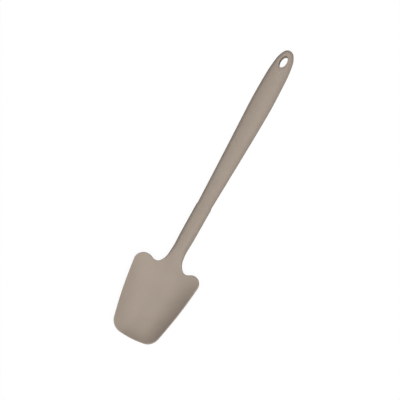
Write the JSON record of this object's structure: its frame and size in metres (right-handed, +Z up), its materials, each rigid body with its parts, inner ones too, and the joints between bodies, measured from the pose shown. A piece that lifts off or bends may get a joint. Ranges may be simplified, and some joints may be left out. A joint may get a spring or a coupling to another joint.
{
  "type": "serving spoon",
  "caption": "Shallow silicone spoon-spatula with a thin, nearly straight lip, rounded shoulders, a slim neck, an oval handle and a hanging hole, moulded over a stiff core.",
  "frame": {"origin": "on the table under the middle of the spoon's bounding box", "axes": "+X across the spoon, +Y from the lip to the hanging end, +Z up out of the hollow side"},
  "size_m": [0.0626, 0.29, 0.0149],
  "materials": {
    "silicone": "matt moulded silicone, warm greige",
    "glass_filled_nylon": "natural glass-filled nylon, as moulded"
  },
  "bodies": {
    "root": {"silicone_head": "silicone", "handle_grip": "silicone", "stiffening_core": "glass_filled_nylon"}
  },
  "joints": []
}
